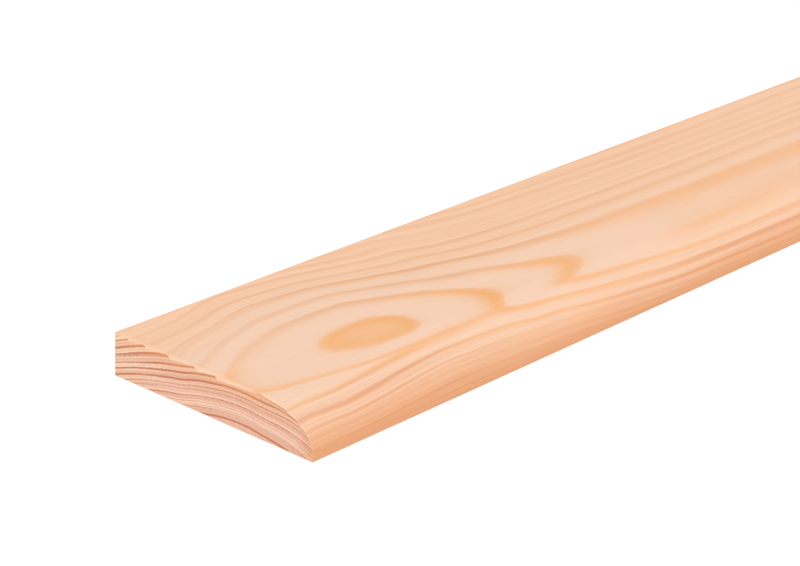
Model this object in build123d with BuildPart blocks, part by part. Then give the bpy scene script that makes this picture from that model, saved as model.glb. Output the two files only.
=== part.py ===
"""Bullnose skirting board: one planed softwood board, 12 x 69 mm, 2.4 m long.

The board lies on its back, as it is stored and carried. Its long axis runs
along X. The back, which meets the wall, is on the ground at Z = 0, and the
show face looks up. The rounded edge, which is uppermost on a wall, looks
towards -Y, and the square edge that stands on the floor looks towards +Y.
The origin is the middle of the back. All sizes are in millimetres.
"""

import os

from build123d import *

# The board as it is sold
LENGTH = 2400.0
WIDTH = 69.0
THICKNESS = 12.0

# The rounding of the uppermost edge, a quarter of an ellipse
NOSE_RUN = 18.0  # how far it reaches across the show face
NOSE_FLAT = 2.0  # flat that it leaves on the edge, next to the back

# The three square corners of the section are lightly eased
ARRIS = 0.4

nose_drop = THICKNESS - NOSE_FLAT
rounded_edge_y = -WIDTH / 2
floor_edge_y = WIDTH / 2
nose_start_y = rounded_edge_y + NOSE_RUN

with BuildPart() as skirting_board:
    # The section, drawn at the left end: local X is the board's Y, and local Y is its Z
    with BuildSketch(Plane.YZ.offset(-LENGTH / 2)) as section:
        with BuildLine() as outline:
            nose = EllipticalCenterArc(
                (nose_start_y, NOSE_FLAT), NOSE_RUN, nose_drop, start_angle=90, arc_size=90
            )
            Polyline(
                nose @ 1,
                (rounded_edge_y, 0),
                (floor_edge_y, 0),
                (floor_edge_y, THICKNESS),
                nose @ 0,
            )
        make_face()
        back_corners = section.vertices().group_by(Axis.Y)[0]
        face_corner = section.vertices().sort_by(Axis.X)[-2:].sort_by(Axis.Y)[-1]
        fillet([*back_corners, face_corner], ARRIS)
    extrude(amount=LENGTH)

skirting_board.part.label = "skirting_board"

os.makedirs("parts", exist_ok=True)
export_step(skirting_board.part, "parts/skirting_board.step")
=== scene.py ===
"""The looks of a bullnose skirting board: one planed softwood board on a white floor.

The board lies on its back, along X, with its show face up and its rounded edge
towards -Y. The end nearest the camera is at the lowest X. Places on the board
are in metres in the frame's own axes. Places in the wood's figure are in
millimetres: along the board from the near end, across it from the rounded edge,
and up from the back.
"""

import logging
import math
from collections.abc import Callable
from dataclasses import dataclass, field
from enum import Enum
from typing import Any, ClassVar

import bpy
from bpy.types import Material, MeshPolygon, Node, NodeSocket, NodeTree, Object
from mathutils import Matrix, Vector


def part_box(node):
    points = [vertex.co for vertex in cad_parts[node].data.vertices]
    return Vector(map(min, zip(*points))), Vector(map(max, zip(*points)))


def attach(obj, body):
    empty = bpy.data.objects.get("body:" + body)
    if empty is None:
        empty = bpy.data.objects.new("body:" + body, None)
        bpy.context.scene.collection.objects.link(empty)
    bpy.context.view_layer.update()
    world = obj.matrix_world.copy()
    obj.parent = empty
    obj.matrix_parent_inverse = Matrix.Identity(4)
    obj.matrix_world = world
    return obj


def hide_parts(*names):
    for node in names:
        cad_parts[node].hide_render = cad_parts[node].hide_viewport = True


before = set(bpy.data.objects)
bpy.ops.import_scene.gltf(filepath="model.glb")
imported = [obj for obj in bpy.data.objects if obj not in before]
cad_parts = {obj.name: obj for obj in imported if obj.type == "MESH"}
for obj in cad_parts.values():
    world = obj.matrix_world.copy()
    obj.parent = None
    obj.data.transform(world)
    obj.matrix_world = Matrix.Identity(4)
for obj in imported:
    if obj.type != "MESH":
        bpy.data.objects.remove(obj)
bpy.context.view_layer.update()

MM = 0.001
TOUCH = 1e-5  # metres: closer than this is the same place
BODY = "root"
NODE = "skirting_board"

log = logging.getLogger("skirting_board")

Curve = tuple[tuple[float, float], ...]
Span = tuple[float, float]


def linear(hex_colour: str) -> tuple[float, float, float, float]:
    """Turn an sRGB colour into the linear one that a shader takes.

    Args:
        hex_colour: Six hex digits after a hash, as in "#f6d3b4".

    Returns:
        Red, green, blue and an alpha of 1.
    """
    channels = [int(hex_colour[place : place + 2], 16) / 255 for place in (1, 3, 5)]
    red, green, blue = (c / 12.92 if c <= 0.04045 else ((c + 0.055) / 1.055) ** 2.4 for c in channels)
    return red, green, blue, 1.0


def add_node(
    tree: NodeTree, kind: str, inputs: dict[Any, Any] | None = None, points: Curve = (), **settings: Any
) -> Node:
    """Add a node to a material's tree, with its settings and its links.

    Args:
        tree: The tree that gets the node.
        kind: The node's Blender type.
        inputs: What goes into each input, by name or number. A node stands for its first output.
        points: The points of the node's curve, if it has one.
        **settings: The node's own properties.

    Returns:
        The new node.
    """
    node = tree.nodes.new(kind)
    for name, value in settings.items():
        setattr(node, name, value)
    for place, value in (inputs or {}).items():
        if isinstance(value, Node):
            value = value.outputs[0]
        if isinstance(value, NodeSocket):
            tree.links.new(value, node.inputs[place])
        else:
            node.inputs[place].default_value = value
    if points:
        node.mapping.use_clip = False
        node.mapping.extend = "HORIZONTAL"
        line = node.mapping.curves[0]
        line.points[0].location = points[0]
        line.points[1].location = points[-1]
        for point in points[1:-1]:
            line.points.new(*point)
        node.mapping.update()
    return node


def work_out(tree: NodeTree, operation: str, *values: Any, **settings: Any) -> Node:
    """Add a node that does one sum with its values."""
    return add_node(tree, "ShaderNodeMath", dict(enumerate(values)), operation=operation, **settings)


def read_curve(tree: NodeTree, value: Any, points: Curve) -> Node:
    """Add a node that gives a curve's height at a value."""
    return add_node(tree, "ShaderNodeFloatCurve", {"Value": value}, points=points)


def remap(tree: NodeTree, value: Any, source: Span, target: Span = (0.0, 1.0), **settings: Any) -> Node:
    """Add a node that turns one span of values into another."""
    ends = {"From Min": source[0], "From Max": source[1], "To Min": target[0], "To Max": target[1]}
    return add_node(tree, "ShaderNodeMapRange", {"Value": value, **ends}, **settings)


def ease(tree: NodeTree, value: Any, source: Span, target: Span = (0.0, 1.0)) -> Node:
    """Add a node that turns one span of values into another, softly at both ends."""
    return remap(tree, value, source, target, interpolation_type="SMOOTHSTEP")


def mix(tree: NodeTree, share: Any, first: Any, second: Any) -> Node:
    """Add a node that mixes two values by the share of the second."""
    return add_node(tree, "ShaderNodeMix", {0: share, 2: first, 3: second})


def blend(tree: NodeTree, share: Any, first: Any, second: Any) -> NodeSocket:
    """Mix two colours, each a hex colour or a socket, by the share of the second."""
    sides = {place: linear(c) if isinstance(c, str) else c for place, c in ((6, first), (7, second))}
    return add_node(tree, "ShaderNodeMix", {0: share, **sides}, data_type="RGBA").outputs[2]


def new_material(name: str) -> tuple[Material, NodeTree]:
    """Make a material with an empty node tree.

    Args:
        name: The finish's name.

    Returns:
        The material and its tree.
    """
    material = bpy.data.materials.new(name)
    material.use_nodes = True
    material.node_tree.nodes.clear()
    return material, material.node_tree


@dataclass(frozen=True)
class Wander:
    """A soft random shift to either side of 0: the millimetres over which it changes, and how far it goes."""

    along: float
    across: float
    up: float
    by: float
    # Most of the noise's values lie in this span. The few beyond it go further
    usual: ClassVar[Span] = (0.25, 0.75)
    detail: ClassVar[float] = 2.0

    def add(self, tree: NodeTree, place: Node) -> Node:
        """Add the shift to a finish.

        Args:
            tree: The finish's tree.
            place: The place on the board, in millimetres.

        Returns:
            A node that gives the shift.
        """
        size = (1 / self.along, 1 / self.across, 1 / self.up)
        spread = add_node(tree, "ShaderNodeMapping", {"Vector": place, "Scale": size}, vector_type="POINT")
        noise = add_node(tree, "ShaderNodeTexNoise", {"Vector": spread, "Scale": 1.0, "Detail": self.detail})
        return remap(tree, noise, self.usual, (-self.by, self.by), clamp=False)


@dataclass(frozen=True)
class Figure:
    """How the growth rings lie in the board, as the photo shows them, in millimetres.

    The heart of the tree is below the back. A ring is an arch over a ridge line that runs along
    the board, so the show face cuts it as a tongue where the ridge dips under the face. Curves
    along the board start at the near end. After the last point the board goes on as plain stock.
    """

    # Where the ridge line lies across the board, and how far the rings rise there, along the board
    ridge: Curve = ((0, 24), (30, 26), (50, 25), (75, 21), (90, 18.5), (128, 19.5), (160, 21), (320, 21))
    rise: Curve = (
        (0, -0.15), (4, -0.12), (10, -0.1), (20, -0.15), (30, 0.2), (38, 0.5), (52, 0.4), (64, -0.2),
        (78, -0.95), (90, -1.6), (100, -1.85), (120, -2.15), (150, -2.5), (180, -2.8), (200, -2.9),
        (225, -2.94), (260, -3.08), (320, -3.4),
    )
    # Further along, the rings sink slowly, and the ridge wanders up and down and to either side
    plain_stock: Span = (300.0, 480.0)
    taper: Span = (320.0, 2400.0)
    taper_rise: float = -9.0
    swing: Wander = Wander(260.0, 900.0, 900.0, 3.0)
    drift: Wander = Wander(420.0, 700.0, 1100.0, 9.0)
    # Over the eye the inner rings swell up more than the outer ones
    swelling: Curve = (
        (0, 0.2), (10, 0.85), (20, 1.25), (31, 1.2), (38, 1.13), (46, 1.22), (56, 1.42), (64, 1.47),
        (72, 1.5), (80, 1.48), (90, 1.35), (100, 1.3), (110, 0.9), (128, 0.35), (150, 0),
    )
    swelling_fade: Span = (14.8, 18.8)
    # Slope of an arch's flank: towards the floor edge, along the board, and towards the rounded edge
    floor_flank: Curve = (
        (0, 0.28), (5, 0.285), (12, 0.288), (20, 0.281), (30, 0.274), (38, 0.28), (46, 0.283), (64, 0.27),
        (80, 0.258), (92, 0.24), (98, 0.247), (105, 0.258), (120, 0.28), (150, 0.302), (320, 0.302),
    )
    rounded_flank: float = 0.20
    # Under the show face the flanks are steeper: by so much in all over so many millimetres down, or
    # by so much a millimetre
    floor_flank_below: float = 0.028
    floor_flank_depth: float = 5.0
    rounded_flank_with_depth: float = 0.012
    crown_radius: float = 5.0  # of an arch's top, in the sums for its drop
    # Just under the rounded edge the rings bend down: how much along the board, and where across it
    dip: Curve = (
        (0, 1.45), (10, 1.5), (20, 1.5), (30, 1.65), (40, 1.8), (50, 1.84), (60, 1.64), (70, 1.22), (80, 0.8),
        (90, 0.77), (100, 0.85), (110, 0.82), (115, 0.8), (120, 0.76), (130, 0.6), (140, 0.48), (150, 0.5),
        (170, 0.75), (200, 0.55), (230, 0.35), (320, 0.25),
    )
    dip_across: Curve = (
        (0, 0), (2.5, 0.08), (4, 0.25), (5, 0.34), (6, 0.42), (7, 0.52), (8, 0.72), (9, 0.9), (10, 0.97),
        (11, 1.0), (12.2, 1.0), (13, 0.87), (14.5, 0.5), (16, 0.25), (17.5, 0.08), (20, 0),
    )
    # How much further the bend reaches on its inner side, and how much less on its outer side, along
    # the board. Then where the inner side begins, and how deep under the surface the bend goes
    dip_reach: Curve = (
        (0, 1.0), (12, 1.2), (20, 0.7), (30, -0.2), (60, -0.4), (76, -0.9), (84, -0.6), (96, 0),
    )
    dip_delay: Curve = ((0, 0), (28, 0), (42, 0.7), (60, 0.8), (76, 0.6), (88, 0.1), (100, 0))
    dip_inner_side: Span = (10.5, 13.5)
    dip_depth: float = 1.6
    # At the sawn end the rings sag towards the floor edge and lift towards the rounded one
    sag: Curve = ((0, 1.0), (3, 0.95), (9, 0.45), (16, 0.0))
    sag_across: Curve = (
        (0, -0.4), (4, -0.65), (8, -0.6), (12, -0.38), (16, 0.0), (18, 0.08), (22, 0.0), (30, 0.05),
        (36, 0.2), (40, 0.25), (45, 0.42), (50, 0.2), (55, 0.0), (60, -0.02), (66, 0.25), (69, 0.4),
    )
    # The rings waver, and their edges are ragged
    wave: Wander = Wander(45.0, 9.0, 9.0, 0.07)
    ragged: Wander = Wander(12.0, 1.2, 1.2, 0.035)
    # Outer edge of each ring's dark wood, with how strong it is
    rings: Curve = (
        (-8.0, 0.6), (-6.1, 0.5), (-4.3, 0.7), (-2.6, 0.5), (-1.2, 0.6), (0.3, 0.5), (2.0, 1.0), (3.6, 0.4),
        (5.0, 0.35), (6.5, 0.85), (7.9, 0.35), (9.15, 0.5), (10.58, 0.9), (12.4, 0.88), (13.9, 0.78),
        (16.1, 0.9), (17.8, 0.6), (19.3, 0.6), (20.3, 0.32), (21.5, 0.35), (22.85, 0.4), (24.0, 0.4),
        (25.9, 0.4), (27.3, 0.6), (28.5, 0.4), (30.4, 0.6), (32.3, 0.7), (33.4, 0.4), (35.2, 0.7),
        (37.1, 0.5), (38.3, 0.6), (40.2, 0.5), (42.0, 0.7),
    )
    # From the pale early wood of one ring, at 0, to the dark late wood at its outer edge, at 1
    ring_shade: Curve = (
        (0, 0.42), (0.06, 0.1), (0.13, 0.0), (0.4, 0.02), (0.56, 0.15), (0.7, 0.5), (0.81, 0.87), (0.88, 1.0),
        (0.94, 0.88), (1.0, 0.42),
    )
    # Past the eye the late wood is broader, and shades off on both sides
    ring_shade_broad: Curve = (
        (0, 0.5), (0.08, 0.22), (0.16, 0.1), (0.28, 0.06), (0.42, 0.15), (0.55, 0.38), (0.7, 0.78),
        (0.84, 1.0), (0.93, 0.92), (1.0, 0.5),
    )
    past_the_eye: Span = (115.0, 175.0)
    # The planed faces show a ring's dark wood more strongly where they shave along it, over the ridge
    shaved_along: Curve = (
        (-25, 1.0), (-22.5, 0.8), (-19, 0.62), (-15, 0.6), (-11, 0.7), (-8, 0.8), (-2, 1.0), (6, 1.0),
        (14, 0.8), (24, 0.78), (48, 0.7),
    )
    # They show it more weakly close to the sawn end
    dried_end: Curve = ((0, 0.72), (18, 0.8), (45, 1.0))
    # On the floor edge's side, this far off the ridge, it comes and goes along the board
    floor_side: Span = (3.0, 9.5)
    floor_side_along: Curve = (
        (0, 0.6), (20, 0.6), (40, 0.7), (60, 0.85), (78, 0.95), (95, 0.98), (120, 0.95), (145, 0.82),
        (165, 0.75), (200, 0.72), (250, 0.6), (320, 0.6),
    )
    # The sawn ends show it by height over the back, and unevenly, as resin fills it here and there
    sawn_strength: Curve = ((0, 1.1), (2, 1.05), (3.2, 0.75), (6, 0.95), (9, 1.25), (12, 1.5))
    resin: Wander = Wander(2.0, 0.9, 0.6, 0.5)
    # Fine lines between the rings, where the surface cuts across them: across from the ridge
    season_lines: Curve = (
        (-25, 0.4), (-20, 0.33), (-15, 0.2), (-11, 0.07), (-6, 0.0), (14, 0.02), (22, 0.12), (34, 0.18),
        (48, 0.22),
    )
    sawn_season_lines: float = 0.45
    # They lie where a noise is at its middle. What a millimetre along the board counts as in it, how
    # often it changes in one outwards, its detail, its middle, and how far off that a line goes
    season_draw: float = 0.004
    season_count: float = 1.25
    season_detail: float = 2.5
    season_middle: float = 0.5
    season_width: float = 0.1


@dataclass(frozen=True)
class PlanedSoftwood:
    """European redwood pine, planed on its four long sides and sawn off square at its ends.

    The cutters leave a smooth, low sheen with the fibre just showing. The sawn ends cut the fibres
    across, so the late wood there is darker and browner, and the saw's marks show.
    """

    board_low: Vector
    board_high: Vector
    nose_run: float
    nose_flat: float
    figure: Figure = field(default_factory=Figure)
    # How squarely the surface cuts the fibres where it turns from a long side into a sawn end
    sawn_turn: Span = (0.85, 0.98)
    # Early wood: darker low on the nose, partly for its denser rings and partly as painted shade, then the
    # middle wood, then the sap wood out in the tree. Then the late wood
    nose_wood_and_shade: str = "#efaf80"
    middle_wood: str = "#f8d1b5"
    sap_wood: str = "#facdab"
    late_wood: str = "#f8b06a"
    outer_late_wood: str = "#e7a874"
    nose_late_wood: str = "#e69f6e"
    # The darker wood, partly painted shade, shows low on the nose only. It ends in the first span, up
    # from the back. Going off the nose, in the second span, a place comes to count as this much higher
    nose_wood_and_shade_up: Span = (1.5, 10.8)
    nose_wood_and_shade_across: Span = (7.0, 19.0)
    nose_wood_and_shade_lift: float = 10.0
    # Where sap wood begins, out in the tree, and where late wood changes colour, across from the ridge
    sap_outwards: Span = (13.0, 19.0)
    nose_late_aside: Span = (-19.0, -14.0)
    outer_late_aside: Span = (8.5, 18.0)
    # How far the borders of the darker nose wood, partly painted shade, and of the sap wood wander
    tone: Wander = Wander(90.0, 14.0, 14.0, 1.2)
    # The sawn ends, with where each wood begins up from the back or across
    end_wood: str = "#fcd5bd"
    end_upper_wood: str = "#f9ccad"
    end_upper_up: Span = (3.0, 10.0)
    end_nose_wood: str = "#f3bf9a"
    end_nose_across: Span = (0.5, 6.5)
    # Paler towards the floor edge: painted light
    end_lit_side_wood: str = "#ffdbbd"
    end_lit_side_across: Span = (46.0, 67.0)
    end_late_wood: str = "#cb7e5d"
    rim_late_wood: str = "#e09058"
    rim_up: Span = (8.5, 11.5)
    # Real fibres are about 0.04 mm wide. They are drawn 0.35 mm wide, so that they show. Bundles of
    # them make streaks, and their cut ends a grit
    fibre_lines: Wander = Wander(14.0, 0.35, 0.35, 1.0)
    fibre_streaks: Wander = Wander(24.0, 1.3, 1.3, 0.6)
    fibre_ends: Wander = Wander(0.5, 0.9, 1.1, 2.2)
    fibre_shade: float = 0.022
    # Relief, in millimetres
    late_raised: float = 0.02
    fibre_cut: float = 0.006
    saw_marks: Wander = Wander(1.0, 0.45, 9.0, 0.02)
    # Typical of bare planed wood. The denser late wood is a little smoother
    roughness_early: float = 0.62
    roughness_late: float = 0.5
    ior: float = 1.5
    specular_level: float = 0.3

    @property
    def thickness(self) -> float:
        """The board's thickness, in millimetres."""
        return (self.board_high.z - self.board_low.z) / MM

    def make(self) -> Material:
        """Build the finish.

        Returns:
            The material, ready to go on the board.
        """
        material, tree = new_material("planed_softwood")
        where = add_node(tree, "ShaderNodeTexCoord")
        place = self._place(tree, where)
        sawn = self._sawn(tree, where)
        outwards, aside = self._outwards(tree, place)
        late = self._late_wood(tree, place, (outwards, aside), sawn)
        fibre = self._fibre(tree, place, sawn)
        colour = self._colour(tree, place, (outwards, aside), late, fibre, sawn)
        surface = add_node(
            tree,
            "ShaderNodeBsdfPrincipled",
            {
                "Base Color": colour,
                "Roughness": remap(tree, late, (0.0, 1.0), (self.roughness_early, self.roughness_late)),
                "Normal": self._bump(tree, place, late, fibre, sawn),
                "IOR": self.ior,
                "Specular IOR Level": self.specular_level,
            },
        )
        add_node(tree, "ShaderNodeOutputMaterial", {"Surface": surface})
        return material

    def _place(self, tree: NodeTree, where: Node) -> Node:
        """Turn object coordinates into millimetres from the near end, the rounded edge and the back.

        Args:
            tree: The finish's tree.
            where: The texture coordinates.

        Returns:
            A node that gives the place on the board.
        """
        per_metre = 1 / MM
        start = (-self.board_low.x * per_metre, -self.board_low.y * per_metre, -self.board_low.z * per_metre)
        inputs = {"Vector": where.outputs["Object"], "Location": start, "Scale": (per_metre,) * 3}
        return add_node(tree, "ShaderNodeMapping", inputs)

    def _sawn(self, tree: NodeTree, where: Node) -> Node:
        """Find the share of sawn end in the surface: 0 on the long sides, 1 on the sawn ends."""
        normal = add_node(tree, "ShaderNodeSeparateXYZ", {0: where.outputs["Normal"]})
        return ease(tree, work_out(tree, "ABSOLUTE", normal.outputs["X"]), self.sawn_turn)

    def _outwards(self, tree: NodeTree, place: Node) -> tuple[Node, Node]:
        """Work out how far out in the tree each point lies, from a datum near the board's back.

        Args:
            tree: The finish's tree.
            place: The place on the board, in millimetres.

        Returns:
            A node that gives that distance in millimetres, and one that gives how far the point
            lies to the floor edge's side of the ridge.
        """
        figure = self.figure
        x, y, z = add_node(tree, "ShaderNodeSeparateXYZ", {0: place}).outputs
        plain_stock = remap(tree, x, figure.plain_stock)
        taper = remap(tree, x, figure.taper, (0.0, figure.taper_rise))
        swing_here = work_out(tree, "MULTIPLY_ADD", figure.swing.add(tree, place), plain_stock, taper)
        rise = work_out(tree, "ADD", read_curve(tree, x, figure.rise), swing_here)
        drift = figure.drift.add(tree, place)
        ridge = work_out(tree, "MULTIPLY_ADD", drift, plain_stock, read_curve(tree, x, figure.ridge))
        aside = work_out(tree, "SUBTRACT", y, ridge)
        height = work_out(tree, "SUBTRACT", z, rise)
        arched = work_out(tree, "ADD", height, self._drop(tree, x, z, aside))
        # The swelling over the eye lifts the inner rings
        inner = ease(tree, arched, figure.swelling_fade, (-1.0, 0.0))
        swollen = work_out(tree, "MULTIPLY_ADD", read_curve(tree, x, figure.swelling), inner, arched)
        sag_along = read_curve(tree, x, figure.sag)
        sagged = work_out(tree, "MULTIPLY_ADD", sag_along, read_curve(tree, y, figure.sag_across), swollen)
        dipped = self._dip(tree, (x, y, z), sagged)
        waved = work_out(tree, "ADD", dipped, figure.wave.add(tree, place))
        return work_out(tree, "ADD", waved, figure.ragged.add(tree, place)), aside

    def _drop(self, tree: NodeTree, x: NodeSocket, z: NodeSocket, aside: Node) -> Node:
        """Work out how far a ring's arch has dropped from its crown.

        Args:
            tree: The finish's tree.
            x: The place along the board.
            z: The height over the back.
            aside: The distance from the ridge.

        Returns:
            A node that gives the drop in millimetres.
        """
        figure = self.figure
        below_face = work_out(tree, "SUBTRACT", self.thickness, z)
        steeper = remap(tree, below_face, (0.0, figure.floor_flank_depth), (0.0, figure.floor_flank_below))
        floor_flank = work_out(tree, "ADD", steeper, read_curve(tree, x, figure.floor_flank))
        rounded_flank = work_out(
            tree, "MULTIPLY_ADD", below_face, figure.rounded_flank_with_depth, figure.rounded_flank
        )
        on_floor_side = work_out(tree, "GREATER_THAN", aside, 0.0)
        fall = work_out(tree, "MULTIPLY", mix(tree, on_floor_side, rounded_flank, floor_flank), aside)
        squared = work_out(tree, "MULTIPLY_ADD", fall, fall, figure.crown_radius**2)
        return work_out(tree, "SUBTRACT", work_out(tree, "SQRT", squared), figure.crown_radius)

    def _dip(self, tree: NodeTree, xyz: tuple[NodeSocket, ...], distance: Node) -> Node:
        """Bend the rings down in the skin of wood under the rounded edge.

        Args:
            tree: The finish's tree.
            xyz: The place on the board, in millimetres.
            distance: The distance out in the tree before the bend.

        Returns:
            A node that gives the distance after it.
        """
        figure = self.figure
        x, y, z = xyz
        flat = self.nose_flat / MM
        # Height of the surface over this point: a quarter of an ellipse, and then level
        into_nose = remap(tree, y, (self.nose_run / MM, 0.0))
        squared = work_out(tree, "MULTIPLY", into_nose, into_nose)
        root = work_out(tree, "SQRT", work_out(tree, "SUBTRACT", 1.0, squared))
        surface = work_out(tree, "MULTIPLY_ADD", root, self.thickness - flat, flat)
        skin = ease(tree, work_out(tree, "SUBTRACT", surface, z), (0.0, figure.dip_depth), (1.0, 0.0))
        reach = read_curve(tree, x, figure.dip_reach)
        delay = read_curve(tree, x, figure.dip_delay)
        shift = mix(tree, ease(tree, y, figure.dip_inner_side), delay, reach)
        across = read_curve(tree, work_out(tree, "SUBTRACT", y, shift), figure.dip_across)
        amount = work_out(tree, "MULTIPLY", read_curve(tree, x, figure.dip), across)
        return work_out(tree, "MULTIPLY_ADD", amount, skin, distance)

    def _late_wood(self, tree: NodeTree, place: Node, rings: tuple[Node, Node], sawn: Node) -> Node:
        """Work out how dark the ring is at a point: 0 in its pale early wood, 1 in its strongest late wood.

        Args:
            tree: The finish's tree.
            place: The place on the board, in millimetres.
            rings: The distance out in the tree, and the distance from the ridge.
            sawn: The share of sawn end.

        Returns:
            A node that gives the share of late wood.
        """
        figure = self.figure
        outwards, aside = rings
        along, _, height = add_node(tree, "ShaderNodeSeparateXYZ", {0: place}).outputs
        count_to_edge = tuple((edge, float(number)) for number, (edge, _) in enumerate(figure.rings))
        through = work_out(tree, "FRACT", read_curve(tree, outwards, count_to_edge))
        sharp = read_curve(tree, through, figure.ring_shade)
        broad = read_curve(tree, through, figure.ring_shade_broad)
        shade = mix(tree, ease(tree, along, figure.past_the_eye), sharp, broad)
        ring = work_out(tree, "MULTIPLY", shade, read_curve(tree, outwards, figure.rings))
        # What the planed sides show of it
        floor_side = read_curve(tree, along, figure.floor_side_along)
        beside = mix(tree, ease(tree, aside, figure.floor_side), 1.0, floor_side)
        faded = work_out(tree, "MULTIPLY", beside, read_curve(tree, along, figure.dried_end))
        planed = work_out(tree, "MULTIPLY", read_curve(tree, aside, figure.shaved_along), faded)
        # What the sawn ends show of it
        cut_across = read_curve(tree, height, figure.sawn_strength)
        uneven = work_out(tree, "MULTIPLY_ADD", figure.resin.add(tree, place), cut_across, cut_across)
        ring_shown = work_out(tree, "MULTIPLY", ring, mix(tree, sawn, planed, uneven))
        # Weaker lines of every season lie between the rings
        drawn_out = work_out(tree, "MULTIPLY", along, figure.season_draw)
        season = add_node(tree, "ShaderNodeCombineXYZ", {0: drawn_out, 1: outwards})
        pattern = {"Vector": season, "Scale": figure.season_count, "Detail": figure.season_detail}
        noise = add_node(tree, "ShaderNodeTexNoise", pattern)
        off_line = work_out(tree, "ABSOLUTE", work_out(tree, "SUBTRACT", noise, figure.season_middle))
        lines = ease(tree, off_line, (0.0, figure.season_width), (1.0, 0.0))
        fine = mix(tree, sawn, read_curve(tree, aside, figure.season_lines), figure.sawn_season_lines)
        return work_out(tree, "MULTIPLY_ADD", lines, fine, ring_shown, use_clamp=True)

    def _fibre(self, tree: NodeTree, place: Node, sawn: Node) -> Node:
        """Draw the fibre: fine lines along the long sides, and a fine grit on the sawn ends.

        Args:
            tree: The finish's tree.
            place: The place on the board, in millimetres.
            sawn: The share of sawn end.

        Returns:
            A node that gives the fibre's shade, either side of 0.
        """
        lines = self.fibre_lines.add(tree, place)
        both = work_out(tree, "ADD", lines, self.fibre_streaks.add(tree, place))
        return mix(tree, sawn, both, self.fibre_ends.add(tree, place))

    def _colour(
        self, tree: NodeTree, place: Node, rings: tuple[Node, Node], late: Node, fibre: Node, sawn: Node
    ) -> NodeSocket:
        """Mix the colour of the planed sides and of the sawn ends.

        Args:
            tree: The finish's tree.
            place: The place on the board, in millimetres.
            rings: The distance out in the tree, and the distance from the ridge.
            late: The share of late wood.
            fibre: The fibre's shade.
            sawn: The share of sawn end.

        Returns:
            The colour's socket.
        """
        outwards, aside = rings
        _, across, height = add_node(tree, "ShaderNodeSeparateXYZ", {0: place}).outputs
        tone = self.tone.add(tree, place)
        # The planed sides
        # Darker, more orange wood low on the nose: partly its denser rings, partly painted shade
        off_nose = ease(tree, across, self.nose_wood_and_shade_across)
        lifted = work_out(tree, "MULTIPLY_ADD", off_nose, self.nose_wood_and_shade_lift, height)
        out_of_nose_wood_and_shade = ease(tree, work_out(tree, "ADD", lifted, tone), self.nose_wood_and_shade_up)
        into_sap = ease(tree, work_out(tree, "ADD", outwards, tone), self.sap_outwards)
        inner = blend(tree, out_of_nose_wood_and_shade, self.nose_wood_and_shade, self.middle_wood)
        early = blend(tree, into_sap, inner, self.sap_wood)
        outer = ease(tree, aside, self.outer_late_aside)
        late_over = blend(tree, outer, self.late_wood, self.outer_late_wood)
        late_colour = blend(tree, ease(tree, aside, self.nose_late_aside), self.nose_late_wood, late_over)
        face = blend(tree, late, early, late_colour)
        # The sawn ends
        end_inner = blend(tree, ease(tree, height, self.end_upper_up), self.end_wood, self.end_upper_wood)
        end_clear = blend(tree, ease(tree, across, self.end_nose_across), self.end_nose_wood, end_inner)
        # Paler early wood towards the floor edge: painted light
        end_early = blend(tree, ease(tree, across, self.end_lit_side_across), end_clear, self.end_lit_side_wood)
        end_late = blend(tree, ease(tree, height, self.rim_up), self.end_late_wood, self.rim_late_wood)
        end = blend(tree, late, end_early, end_late)
        wood = blend(tree, sawn, face, end)
        shade = work_out(tree, "MULTIPLY_ADD", fibre, self.fibre_shade, 1.0)
        return add_node(tree, "ShaderNodeVectorMath", {0: wood, "Scale": shade}, operation="SCALE").outputs[0]

    def _bump(self, tree: NodeTree, place: Node, late: Node, fibre: Node, sawn: Node) -> Node:
        """Raise the late wood a little, cut the fibre, and leave the saw's marks on the ends.

        Args:
            tree: The finish's tree.
            place: The place on the board, in millimetres.
            late: The share of late wood.
            fibre: The fibre's shade.
            sawn: The share of sawn end.

        Returns:
            A bump node.
        """
        raised = work_out(tree, "MULTIPLY", late, self.late_raised)
        cut = work_out(tree, "MULTIPLY_ADD", fibre, self.fibre_cut, raised)
        height = work_out(tree, "MULTIPLY_ADD", self.saw_marks.add(tree, place), sawn, cut)
        return add_node(tree, "ShaderNodeBump", {"Strength": 1.0, "Distance": MM, "Height": height})


@dataclass(frozen=True)
class Patch:
    """A flat piece of the board's skin on the texture map.

    Its lower left corner is given in pixels of the map and in millimetres of the board, and its
    scale in pixels per millimetre.
    """

    left: float
    bottom: float
    first: float
    lowest: float
    scale: float

    def at(self, along: float, across: float) -> Span:
        """Find the place on the map of a place on the board.

        Args:
            along: Millimetres along the patch.
            across: Millimetres across it.

        Returns:
            The shares of the map's width and height.
        """
        width = self.left + (along - self.first) * self.scale
        height = self.bottom + (across - self.lowest) * self.scale
        return width / Skin.map_size, height / Skin.map_size


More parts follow.
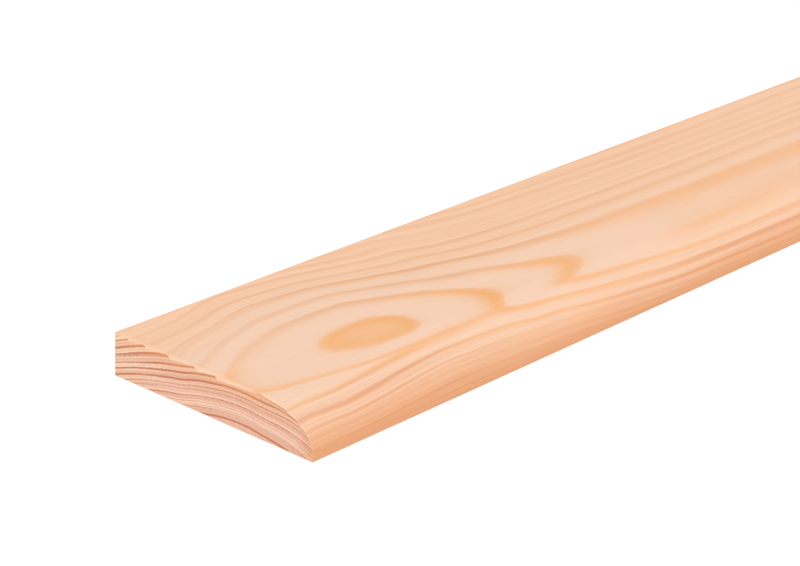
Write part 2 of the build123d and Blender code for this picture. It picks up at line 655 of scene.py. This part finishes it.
@dataclass(frozen=True)
class Skin:
    """The board's skin laid out flat on the texture map, finest at the sawn end that is seen."""

    low: Vector
    nose_run: float
    nose_flat: float
    thickness: float
    # Pixels of the map
    map_size: ClassVar[int] = 1024
    gap: ClassVar[int] = 6
    # Millimetres along the board
    fine_stretch: ClassVar[float] = 320.0
    strip: ClassVar[float] = 520.0
    half: ClassVar[float] = 1200.0
    strips: ClassVar[int] = 4
    # Millimetres across the floor edge, the back, and the show face with the nose
    edge_height: ClassVar[float] = 12.0
    back_height: ClassVar[float] = 69.0
    face_height: ClassVar[float] = 75.5
    # Pixels per millimetre
    fine_scale: ClassVar[float] = 2.6
    strip_scale: ClassVar[float] = 1.75
    back_scale: ClassVar[float] = 0.84
    near_end_scale: ClassVar[float] = 8.0
    far_end_scale: ClassVar[float] = 6.4
    # A face looks along an axis where that part of its normal is at least this
    looks_along: ClassVar[float] = 0.3
    looks_down: ClassVar[float] = 0.8
    looks_to_floor: ClassVar[float] = 0.6
    arc_steps: ClassVar[int] = 24

    @classmethod
    def joints(cls) -> list[float]:
        """Give where patches meet along the board, in millimetres from the near end."""
        return sorted([cls.half] + [cls.fine_stretch + number * cls.strip for number in range(cls.strips)])

    def unroll(self, board: Object) -> None:
        """Write the texture map of the board.

        Args:
            board: The board, with its sides divided at the joints.
        """
        mesh = board.data
        layer = mesh.uv_layers.new(name="OFBake")
        for face in mesh.polygons:
            patch, place = self._patch(face)
            for number in face.loop_indices:
                corner = mesh.vertices[mesh.loops[number].vertex_index].co - self.low
                layer.data[number].uv = patch.at(*place(corner / MM))

    def _patch(self, face: MeshPolygon) -> tuple[Patch, Callable[[Vector], Span]]:
        """Choose the patch that a face is on.

        Args:
            face: A face of the board.

        Returns:
            The patch, and what turns a corner, in millimetres from the board's low corner, into its
            place along and across that patch.
        """
        gap = self.gap
        edge_row = 2 * gap + self.edge_height * self.near_end_scale
        edge_step = self.edge_height * self.back_scale + gap
        back_row = edge_row + 2 * edge_step
        back_step = self.back_height * self.back_scale + gap
        strip_row = back_row + 2 * back_step
        strip_step = self.face_height * self.strip_scale + gap
        if face.normal.x < -self.looks_along:
            return Patch(gap, gap, 0, 0, self.near_end_scale), self._on_end
        if face.normal.x > self.looks_along:
            left = 2 * gap + self.back_height * self.near_end_scale
            return Patch(left, gap, 0, 0, self.far_end_scale), self._on_end
        along = (face.center.x - self.low.x) / MM
        second_half = int(along > self.half)
        start = second_half * self.half
        if face.normal.z < -self.looks_down:
            return Patch(gap, back_row + second_half * back_step, start, 0, self.back_scale), self._on_back
        if face.normal.y > self.looks_to_floor:
            return Patch(gap, edge_row + second_half * edge_step, start, 0, self.back_scale), self._on_edge
        lowest = self._unrolled(Vector((0, 0, 0)))
        if along < self.fine_stretch:
            return Patch(gap, strip_row + self.strips * strip_step, 0, lowest, self.fine_scale), self._on_face
        number = int((along - self.fine_stretch) / self.strip)
        first = self.fine_stretch + number * self.strip
        return Patch(gap, strip_row + number * strip_step, first, lowest, self.strip_scale), self._on_face

    def _on_end(self, corner: Vector) -> Span:
        """Give a corner's place on a sawn end: across and up."""
        return corner.y, corner.z

    def _on_back(self, corner: Vector) -> Span:
        """Give a corner's place on the back: along and across."""
        return corner.x, corner.y

    def _on_edge(self, corner: Vector) -> Span:
        """Give a corner's place on the floor edge: along and up."""
        return corner.x, corner.z

    def _on_face(self, corner: Vector) -> Span:
        """Give a corner's place on the show face and the nose: along and round."""
        return corner.x, self._unrolled(corner)

    def _unrolled(self, corner: Vector) -> float:
        """Measure over the show face and round the nose, in millimetres from where the nose begins.

        Args:
            corner: A place on the show face or the nose, in millimetres from the board's low corner.

        Returns:
            The distance, less than 0 on the nose.
        """
        run = self.nose_run / MM
        flat = self.nose_flat / MM
        drop = self.thickness / MM - flat
        if corner.y >= run:
            return corner.y - run
        turn = math.atan2(max(corner.z - flat, 0.0) / drop, (run - corner.y) / run)
        step = (math.pi / 2 - turn) / self.arc_steps
        middles = [turn + (number + 0.5) * step for number in range(self.arc_steps)]
        arc = sum(math.hypot(run * math.sin(middle), drop * math.cos(middle)) for middle in middles) * step
        return -arc - max(flat - corner.z, 0.0)


class Part(Enum):
    """What is selected on a mesh."""

    EDGES = "EDGE"
    FACES = "FACE"


class ChipMove(Enum):
    """Which way the corners of a chip move, with the axis of that move."""

    DOWN = "Z"
    INWARDS = "Y"
    BACK = "X"


def everywhere(corners: list[Vector]) -> bool:
    """Choose each edge or face."""
    return True


@dataclass
class SkirtingBoard:
    """The board: a planed length of softwood with its uppermost edge rounded over."""

    low: Vector
    high: Vector
    nose_run: float = 18 * MM
    nose_flat: float = 2 * MM
    nose_steps: int = 48
    arris: float = 0.25 * MM
    arris_steps: int = 3
    rim: float = 0.15 * MM
    rim_steps: int = 1
    strip: float = 0.6 * MM
    end_stretch: float = 3 * MM
    round_profile: float = 0.5  # a bevel's profile that is part of a circle
    smooth_under: float = 30.0  # degrees
    # The saw chips the soft early wood. Late wood holds the near end's rim at these places, in
    # millimetres from the rounded edge
    firm_places: tuple[float, ...] = (66.5, 64.5, 58.2, 49.8, 40.3, 33.3, 18.0, 8.2, 4.4, 0.0)
    chip_least: float = 0.05 * MM
    chip_most: float = 1.1 * MM
    # Millimetres across over which a chip breaks off. Its reach back and its depth on the nose, as shares
    chip_break: float = 1.2
    chip_back: float = 0.6
    chip_on_nose: float = 0.35
    # Corners up to this share of the rim are on it. Those under this share of the flat stay whole
    rim_slack: float = 1.02
    flat_whole: float = 0.9

    @property
    def press(self) -> float:
        """How much flatter the blank is pressed, to turn the nose's circle into its ellipse."""
        return (self.high.z - self.low.z - self.nose_flat) / self.nose_run

    def build(self) -> Object:
        """Model the board.

        Returns:
            The board's object, with its place in its mesh.
        """
        board = self._blank()
        self._round_the_nose(board)
        self._ease_the_arrises(board)
        self._divide_the_ends(board)
        self._ease_the_rims(board)
        self._chip_the_near_rim(board)
        self._divide_the_length(board)
        Skin(self.low, self.nose_run, self.nose_flat, self.high.z - self.low.z).unroll(board)
        bpy.ops.object.shade_smooth_by_angle(angle=math.radians(self.smooth_under))
        return board

    def _blank(self) -> Object:
        """Add the squared blank, thick enough that the nose can be cut as a quarter of a circle.

        Returns:
            The board's object.
        """
        size = self.high - self.low
        size.z /= self.press
        centre = (self.high + self.low) / 2
        centre.z = size.z / 2
        bpy.ops.object.select_all(action="DESELECT")
        bpy.ops.mesh.primitive_cube_add(size=1, calc_uvs=False, location=centre, scale=size)
        board = bpy.context.object
        board.name = "softwood_board"
        bpy.ops.object.transform_apply(location=True, rotation=True, scale=True)
        return board

    def _choose(self, board: Object, part: Part, wanted: Callable[[list[Vector]], bool]) -> None:
        """Select the edges or faces that fit, and go into edit mode.

        Args:
            board: The board.
            part: Whether edges or faces are selected.
            wanted: Tells from the places of an edge's or face's corners whether it is to be selected.
        """
        bpy.ops.object.mode_set(mode="OBJECT")
        mesh = board.data
        for thing in (*mesh.vertices, *mesh.edges, *mesh.polygons):
            thing.select = False
        for thing in mesh.edges if part is Part.EDGES else mesh.polygons:
            thing.select = wanted([mesh.vertices[number].co for number in thing.vertices])
        bpy.ops.object.mode_set(mode="EDIT")
        bpy.ops.mesh.select_mode(type=part.value)

    def _bevel(self, width: float, steps: int) -> None:
        """Round the selected edges over a width to each side, in some steps, and leave edit mode."""
        bpy.ops.mesh.bevel(offset=width, segments=steps, profile=self.round_profile, clamp_overlap=False)
        bpy.ops.object.mode_set(mode="OBJECT")

    def _choose_long_edges(self, board: Object, corners: list[Span]) -> None:
        """Select the long edges that run through some corners of the section.

        Args:
            board: The board.
            corners: How far across and how high each corner is.
        """

        def through_a_corner(ends: list[Vector]) -> bool:
            """Tell whether the edge runs through one of the corners."""
            return any(all(abs(e.y - y) < TOUCH and abs(e.z - z) < TOUCH for e in ends) for y, z in corners)

        self._choose(board, Part.EDGES, through_a_corner)

    def _round_the_nose(self, board: Object) -> None:
        """Cut the nose as a quarter of a circle, and press it to its quarter of an ellipse.

        Args:
            board: The board.
        """
        self._choose_long_edges(board, [(self.low.y, (self.high.z - self.low.z) / self.press)])
        self._bevel(self.nose_run, self.nose_steps)
        bpy.ops.object.mode_set(mode="EDIT")
        bpy.ops.mesh.select_all(action="SELECT")
        bpy.ops.transform.resize(value=(1, 1, self.press), center_override=(0, 0, 0))
        bpy.ops.object.mode_set(mode="OBJECT")

    def _ease_the_arrises(self, board: Object) -> None:
        """Round the three square corners of the section a little.

        Args:
            board: The board.
        """
        corners = [(self.low.y, self.low.z), (self.high.y, self.low.z), (self.high.y, self.high.z)]
        self._choose_long_edges(board, corners)
        self._bevel(self.arris, self.arris_steps)

    def _divide_the_ends(self, board: Object) -> None:
        """Divide a short stretch at each end into strips, so that its rim can be chipped.

        Args:
            board: The board.
        """
        inner_end = self.high.x - self.end_stretch

        def near_an_end(corners: list[Vector]) -> bool:
            """Tell whether the face lies in one of the two stretches."""
            return all(abs(corner.x) > inner_end - TOUCH for corner in corners)

        for x in (-inner_end, inner_end):
            self._choose(board, Part.FACES, everywhere)
            bpy.ops.mesh.bisect(plane_co=(x, 0, 0), plane_no=(1, 0, 0))
        flat = self.high.y - self.arris - self.low.y - self.nose_run
        strips = round(flat / self.strip)
        for number in range(1, strips):
            y = self.low.y + self.nose_run + flat * number / strips
            self._choose(board, Part.FACES, near_an_end)
            bpy.ops.mesh.bisect(plane_co=(0, y, 0), plane_no=(0, 1, 0))
        bpy.ops.object.mode_set(mode="OBJECT")

    def _divide_the_length(self, board: Object) -> None:
        """Divide the long sides where patches of the texture map meet.

        Args:
            board: The board.
        """
        for along in Skin.joints():
            self._choose(board, Part.FACES, everywhere)
            bpy.ops.mesh.bisect(plane_co=(self.low.x + along * MM, 0, 0), plane_no=(1, 0, 0))
        bpy.ops.object.mode_set(mode="OBJECT")

    def _ease_the_rims(self, board: Object) -> None:
        """Take the sharp rim off both sawn ends.

        Args:
            board: The board.
        """

        def on_a_rim(ends: list[Vector]) -> bool:
            """Tell whether the edge is on a rim, and not inside the end."""
            upright = abs(ends[0].y - ends[1].y) < TOUCH and abs(ends[0].y) < self.high.y - TOUCH
            return not upright and all(abs(abs(end.x) - self.high.x) < TOUCH for end in ends)

        self._choose(board, Part.EDGES, on_a_rim)
        self._bevel(self.rim, self.rim_steps)

    def _chip(self, along: float) -> float:
        """Give how deep the near end's rim is chipped at a place across the board.

        Args:
            along: Millimetres from the rounded edge.

        Returns:
            The depth, as a share of the deepest chip.
        """
        above = min(place for place in self.firm_places if place >= along)
        below = max((place for place in self.firm_places if place < along), default=0.0)
        # The early wood breaks off steeply under one late-wood line, and then follows the next one up
        share = min((along - below) / max(above - below, self.chip_break), (above - along) / self.chip_break)
        least = self.chip_least / self.chip_most
        depth = least + (1 - least) * share
        return depth * self.chip_on_nose if along * MM < self.nose_run else depth

    def _chip_the_near_rim(self, board: Object) -> None:
        """Chip the near end's upper rim, into the end and back along the board.

        Args:
            board: The board.
        """
        groups = {move: board.vertex_groups.new(name=move.name) for move in ChipMove}
        slack = self.rim_slack * self.rim
        for vertex in board.data.vertices:
            from_end = vertex.co.x - self.low.x
            across = vertex.co.y - self.low.y
            upper = self.high.z - vertex.co.z < slack or across < self.nose_run
            low_down = vertex.co.z < self.low.z + self.flat_whole * self.nose_flat
            if from_end > slack or low_down or across / MM > self.firm_places[0] or not upper:
                continue
            depth = self._chip(max(across / MM, 0.0))
            lean = max(1 - across / self.nose_run, 0.0)
            on_end = 1 - from_end / self.rim
            groups[ChipMove.DOWN].add([vertex.index], depth * on_end * math.sqrt(1 - lean**2), "REPLACE")
            groups[ChipMove.INWARDS].add([vertex.index], depth * on_end * lean, "REPLACE")
            groups[ChipMove.BACK].add([vertex.index], depth * (1 - on_end), "REPLACE")
        most = self.chip_most
        reaches = {ChipMove.DOWN: -most, ChipMove.INWARDS: most, ChipMove.BACK: most * self.chip_back}
        for move, reach in reaches.items():
            chips = board.modifiers.new(move.name, "DISPLACE")
            chips.direction = move.value
            chips.strength = reach
            chips.mid_level = 0
            chips.vertex_group = move.name
            bpy.ops.object.modifier_apply(modifier=move.name)
        board.vertex_groups.clear()


@dataclass
class Studio:
    """The white floor, the soft light and the camera."""

    lens: float = 116.79  # millimetres
    camera_place: tuple[float, float, float] = (-1.60884, -0.40871, 0.27584)
    camera_heading: float = 40.515  # degrees from +X towards +Y
    camera_pitch: float = 22.437  # degrees down
    camera_roll: float = 2.443  # degrees
    camera_near: float = 10 * MM
    floor_size: float = 14.0
    floor_gap: float = 0.1 * MM
    floor_colour: str = "#f2f2f2"
    floor_glow: float = 0.3
    sky: float = 0.67
    key: float = 1.34
    key_spread: float = 60.0  # degrees
    key_from: tuple[float, float, float] = (-0.47, -0.42, 0.775)
    key_distance: float = 3.0

    def build(self) -> None:
        """Set up the floor, the lights and the camera."""
        self._floor()
        self._sky()
        self._key()
        self._camera()
        bpy.context.scene.view_settings.view_transform = "Standard"

    def _floor(self) -> None:
        """Lay a matt white floor. It shows white to the camera and keeps the board's shadow."""
        bpy.ops.object.select_all(action="DESELECT")
        bpy.ops.mesh.primitive_plane_add(size=self.floor_size, location=(0, 0, -self.floor_gap))
        floor = bpy.context.object
        floor.name = "studio_floor"
        bpy.ops.object.transform_apply(location=True, rotation=True, scale=True)
        material, tree = new_material("matt_white_paper")
        paper = add_node(tree, "ShaderNodeBsdfDiffuse", {"Color": linear(self.floor_colour)})
        path = add_node(tree, "ShaderNodeLightPath").outputs
        seen = work_out(tree, "MAXIMUM", path["Is Camera Ray"], path["Is Glossy Ray"])
        seen_or_through = work_out(tree, "MAXIMUM", seen, path["Is Transmission Ray"])
        lift = work_out(tree, "MULTIPLY", seen_or_through, self.floor_glow)
        glow = add_node(tree, "ShaderNodeEmission", {"Strength": lift})
        both = add_node(tree, "ShaderNodeAddShader", {0: paper, 1: glow})
        add_node(tree, "ShaderNodeOutputMaterial", {"Surface": both})
        floor.data.materials.append(material)

    def _sky(self) -> None:
        """Light the board from all round, with plain white behind."""
        world = bpy.data.worlds.new("white_tent")
        bpy.context.scene.world = world
        world.use_nodes = True
        tree = world.node_tree
        tree.nodes.clear()
        path = add_node(tree, "ShaderNodeLightPath").outputs
        seen = work_out(tree, "MAXIMUM", path["Is Camera Ray"], path["Is Transmission Ray"])
        strength = remap(tree, seen, (0.0, 1.0), (self.sky, 1.0))
        back = add_node(tree, "ShaderNodeBackground", {"Color": (1, 1, 1, 1), "Strength": strength})
        add_node(tree, "ShaderNodeOutputWorld", {"Surface": back})

    def _key(self) -> None:
        """Add the soft main light, from above and in front of the rounded edge."""
        bpy.ops.object.light_add(type="SUN", location=Vector(self.key_from) * self.key_distance)
        key = bpy.context.object
        key.name = "key_light"
        key.data.energy = self.key
        key.data.angle = math.radians(self.key_spread)
        key.rotation_euler = Vector(self.key_from).to_track_quat("Z", "Y").to_euler()

    def _camera(self) -> None:
        """Place the camera at the photo's viewpoint."""
        bpy.ops.object.camera_add()
        camera = bpy.context.object
        camera.name = "photo_camera"
        camera.data.lens = self.lens
        camera.data.clip_start = self.camera_near
        turn = Matrix.Rotation(math.radians(self.camera_heading - 90), 4, "Z")
        tilt = Matrix.Rotation(math.radians(90 - self.camera_pitch), 4, "X")
        roll = Matrix.Rotation(math.radians(self.camera_roll), 4, "Z")
        camera.matrix_world = Matrix.Translation(self.camera_place) @ turn @ tilt @ roll
        bpy.context.scene.camera = camera


def main() -> None:
    """Build the studio and the board, and dress the board."""
    logging.basicConfig(level=logging.INFO, format="%(message)s")
    low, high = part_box(NODE)
    Studio().build()
    log.info("studio: floor, lights and camera")
    board = SkirtingBoard(low, high)
    piece = board.build()
    finish = PlanedSoftwood(low, high, board.nose_run, board.nose_flat)
    piece.data.materials.append(finish.make())
    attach(piece, BODY)
    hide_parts(NODE)
    log.info("%s: %d faces", piece.name, len(piece.data.polygons))


if __name__ == "__main__":
    main()
